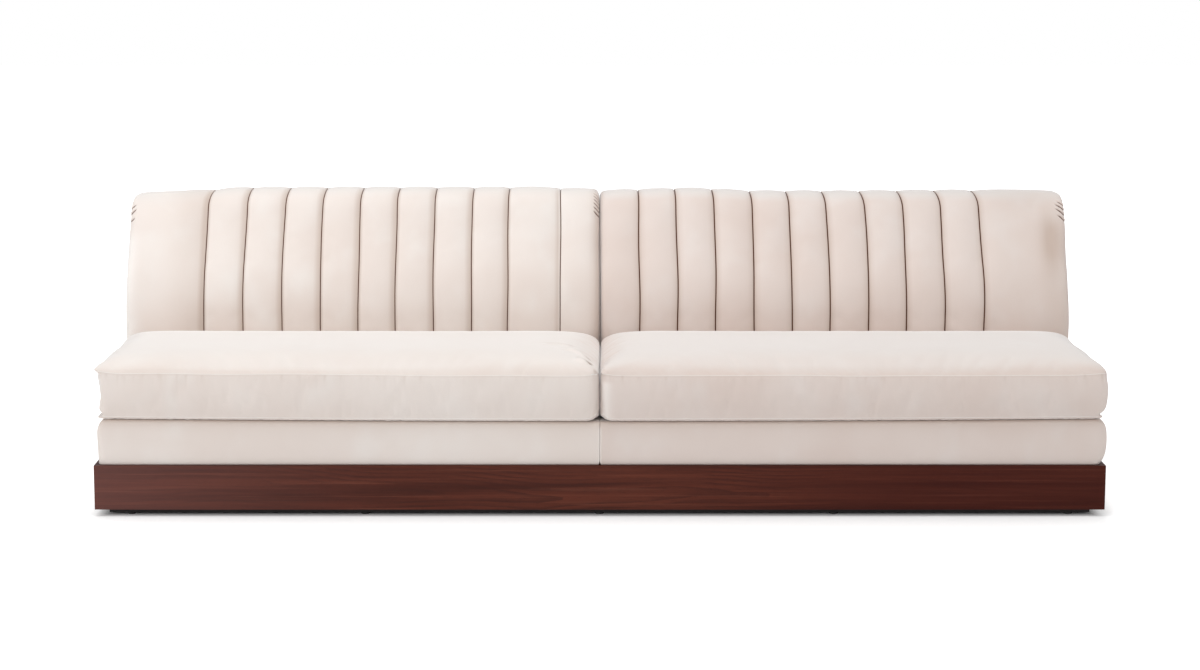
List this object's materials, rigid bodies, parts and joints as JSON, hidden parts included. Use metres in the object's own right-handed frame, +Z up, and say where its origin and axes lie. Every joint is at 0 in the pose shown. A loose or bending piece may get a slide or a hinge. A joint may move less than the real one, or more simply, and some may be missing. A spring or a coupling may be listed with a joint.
{
  "type": "sofa",
  "caption": "Long armless sofa: channelled backs and loose seat cushions in velvet on a recessed-foot walnut plinth.",
  "frame": {"origin": "on the floor under the middle of the plinth", "axes": "+X to the right in the picture, along the length; the front faces -Y; +Z up"},
  "size_m": [2.8, 0.93, 0.8236],
  "materials": {
    "walnut": "satin",
    "plywood": "sanded",
    "black_board": "matt black paint",
    "glide_nylon": "moulded",
    "bolt_steel": "zinc plated",
    "webbing": "woven elastic",
    "foam": "open-cell foam",
    "dust_cloth": "non-woven",
    "velvet": "velvet"
  },
  "bodies": {
    "sofa_frame": {"plinth_front_rail": "walnut", "plinth_rear_rail": "walnut", "plinth_left_rail": "walnut", "plinth_right_rail": "walnut", "plinth_cross_rail_left": "plywood", "plinth_cross_rail_centre": "plywood", "plinth_cross_rail_right": "plywood", "plinth_gussets": "plywood", "toe_kick_front": "black_board", "toe_kick_rear": "black_board", "toe_kick_left": "black_board", "toe_kick_right": "black_board", "floor_glides": "glide_nylon", "unit_bolts": "bolt_steel", "left_side_frame_outer": "plywood", "left_side_frame_middle": "plywood", "left_side_frame_inner": "plywood", "left_seat_front_rail": "plywood", "left_seat_web_rail": "plywood", "left_seat_rear_rail": "plywood", "left_back_top_rail": "plywood", "left_seat_gussets": "plywood", "left_seat_webbing": "webbing", "left_deck_pad": "foam", "left_deck_cover": "velvet", "left_dust_cover": "dust_cloth", "left_back_webbing": "webbing", "left_back_foam": "foam", "left_back_cover": "velvet", "left_rear_panel": "velvet", "right_side_frame_outer": "plywood", "right_side_frame_middle": "plywood", "right_side_frame_inner": "plywood", "right_seat_front_rail": "plywood", "right_seat_web_rail": "plywood", "right_seat_rear_rail": "plywood", "right_back_top_rail": "plywood", "right_seat_gussets": "plywood", "right_seat_webbing": "webbing", "right_deck_pad": "foam", "right_deck_cover": "velvet", "right_dust_cover": "dust_cloth", "right_back_webbing": "webbing", "right_back_foam": "foam", "right_back_cover": "velvet", "right_rear_panel": "velvet"},
    "left_cushion": {"left_cushion_cover": "velvet", "left_cushion_core": "foam"},
    "right_cushion": {"right_cushion_cover": "velvet", "right_cushion_core": "foam"}
  },
  "joints": [
    {"name": "left_cushion_lift", "type": "slide", "parent": "sofa_frame", "child": "left_cushion", "axis": [0, 0, 1], "range_m": [0, 0.3]},
    {"name": "right_cushion_lift", "type": "slide", "parent": "sofa_frame", "child": "right_cushion", "axis": [0, 0, 1], "range_m": [0, 0.3]}
  ]
}
